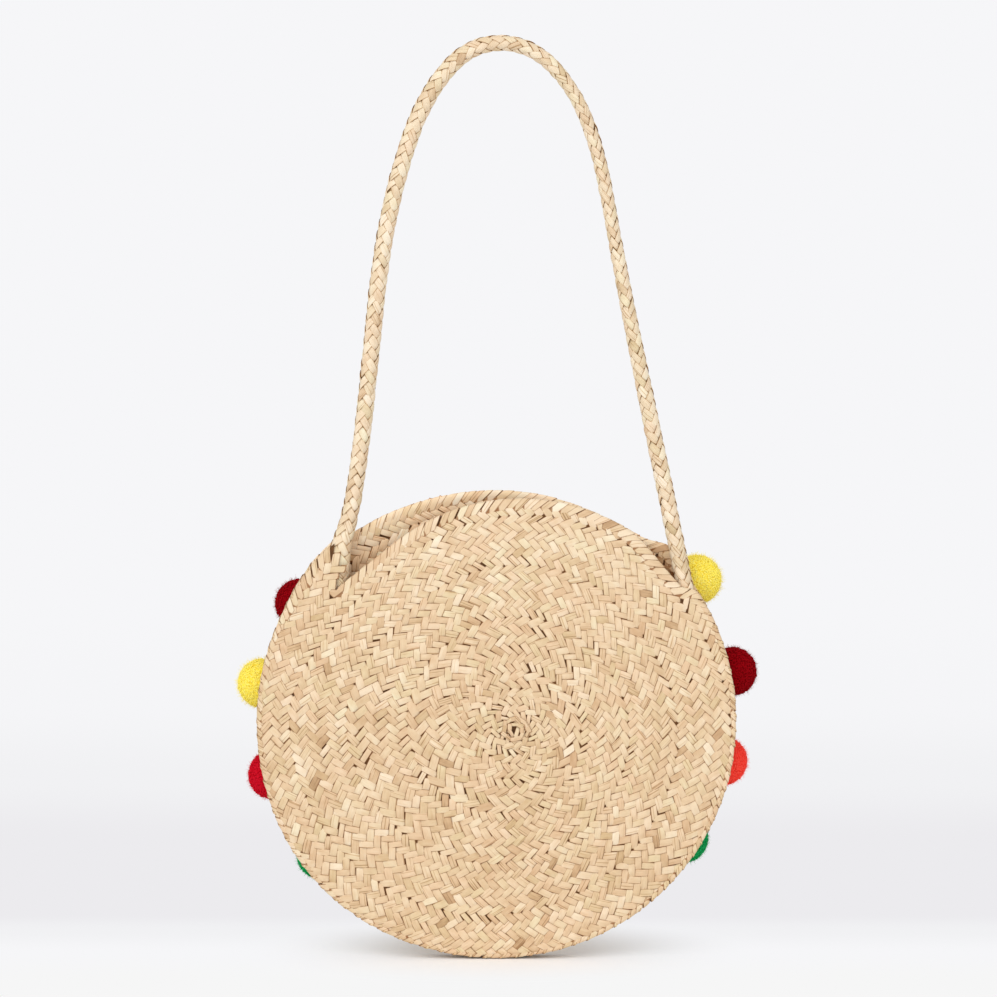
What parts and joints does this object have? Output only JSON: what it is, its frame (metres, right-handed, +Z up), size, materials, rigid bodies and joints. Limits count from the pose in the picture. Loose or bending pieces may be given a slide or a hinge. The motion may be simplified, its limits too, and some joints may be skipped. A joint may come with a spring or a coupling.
{
  "type": "round woven palm shoulder bag",
  "caption": "Round plaited palm shoulder bag: two dished discs laced along a rim braid, open mouth, braided strap, wool pom-poms tied down both sides.",
  "frame": {"origin": "underside of the strap's crown, where a hook or a shoulder carries the bag", "axes": "+Z up along the hanging bag, +X to the right of the plain face, +Y from the plain face to the face with the pom-poms"},
  "size_m": [0.4382, 0.0842, 0.7749],
  "materials": {
    "panel_palm": "twill-plaited dried palm leaf",
    "strap_palm": "braided dried palm leaf",
    "lacing_palm": "twisted palm leaf strip",
    "crimson_wool": "cut wool pile",
    "yellow_wool": "cut wool pile",
    "red_wool": "cut wool pile",
    "orange_wool": "cut wool pile",
    "green_wool": "cut wool pile",
    "tie_yarn": "two-ply wool yarn"
  },
  "bodies": {
    "strap": {"strap": "strap_palm"},
    "bag": {"plain_panel": "panel_palm", "pompom_panel": "panel_palm", "rim_braid": "strap_palm", "rim_lacing": "lacing_palm", "strap_tail_left": "strap_palm", "strap_tail_right": "strap_palm", "strap_wrap_left": "lacing_palm", "strap_wrap_right": "lacing_palm", "tie_knots": "tie_yarn"},
    "pompom_left_1": {"pompom_left_1": "crimson_wool", "pompom_tie_left_1": "tie_yarn"},
    "pompom_left_2": {"pompom_left_2": "yellow_wool", "pompom_tie_left_2": "tie_yarn"},
    "pompom_left_3": {"pompom_left_3": "red_wool", "pompom_tie_left_3": "tie_yarn"},
    "pompom_left_4": {"pompom_left_4": "green_wool", "pompom_tie_left_4": "tie_yarn"},
    "pompom_right_1": {"pompom_right_1": "yellow_wool", "pompom_tie_right_1": "tie_yarn"},
    "pompom_right_2": {"pompom_right_2": "crimson_wool", "pompom_tie_right_2": "tie_yarn"},
    "pompom_right_3": {"pompom_right_3": "orange_wool", "pompom_tie_right_3": "tie_yarn"},
    "pompom_right_4": {"pompom_right_4": "green_wool", "pompom_tie_right_4": "tie_yarn"}
  },
  "joints": [
    {"name": "strap_swing", "type": "hinge", "parent": "strap", "child": "bag", "pos_m": [-0.12119, 0, -0.38301], "axis": [0.9965, 0, -0.0837], "range_deg": [-85, 85]},
    {"name": "pompom_left_1_rock", "type": "hinge", "parent": "bag", "child": "pompom_left_1", "pos_m": [-0.15532, 0.01408, -0.47215], "axis": [1, 0, 0], "range_deg": [-15, 15], "stiffness_Nm_per_rad": 0.05},
    {"name": "pompom_left_2_rock", "type": "hinge", "parent": "bag", "child": "pompom_left_2", "pos_m": [-0.18529, 0.01284, -0.53542], "axis": [1, 0, 0], "range_deg": [-15, 15], "stiffness_Nm_per_rad": 0.05},
    {"name": "pompom_left_3_rock", "type": "hinge", "parent": "bag", "child": "pompom_left_3", "pos_m": [-0.17729, 0.0133, -0.6085], "axis": [1, 0, 0], "range_deg": [-15, 15], "stiffness_Nm_per_rad": 0.05},
    {"name": "pompom_left_4_rock", "type": "hinge", "parent": "bag", "child": "pompom_left_4", "pos_m": [-0.13715, 0.01436, -0.67106], "axis": [1, 0, 0], "range_deg": [-15, 15], "stiffness_Nm_per_rad": 0.05},
    {"name": "pompom_right_1_rock", "type": "hinge", "parent": "bag", "child": "pompom_right_1", "pos_m": [0.15943, 0.0123, -0.45588], "axis": [1, 0, 0], "range_deg": [-15, 15], "stiffness_Nm_per_rad": 0.05},
    {"name": "pompom_right_2_rock", "type": "hinge", "parent": "bag", "child": "pompom_right_2", "pos_m": [0.18619, 0.01248, -0.52582], "axis": [1, 0, 0], "range_deg": [-15, 15], "stiffness_Nm_per_rad": 0.05},
    {"name": "pompom_right_3_rock", "type": "hinge", "parent": "bag", "child": "pompom_right_3", "pos_m": [0.17874, 0.01348, -0.59735], "axis": [1, 0, 0], "range_deg": [-15, 15], "stiffness_Nm_per_rad": 0.05},
    {"name": "pompom_right_4_rock", "type": "hinge", "parent": "bag", "child": "pompom_right_4", "pos_m": [0.1479, 0.01411, -0.65941], "axis": [1, 0, 0], "range_deg": [-15, 15], "stiffness_Nm_per_rad": 0.05}
  ]
}
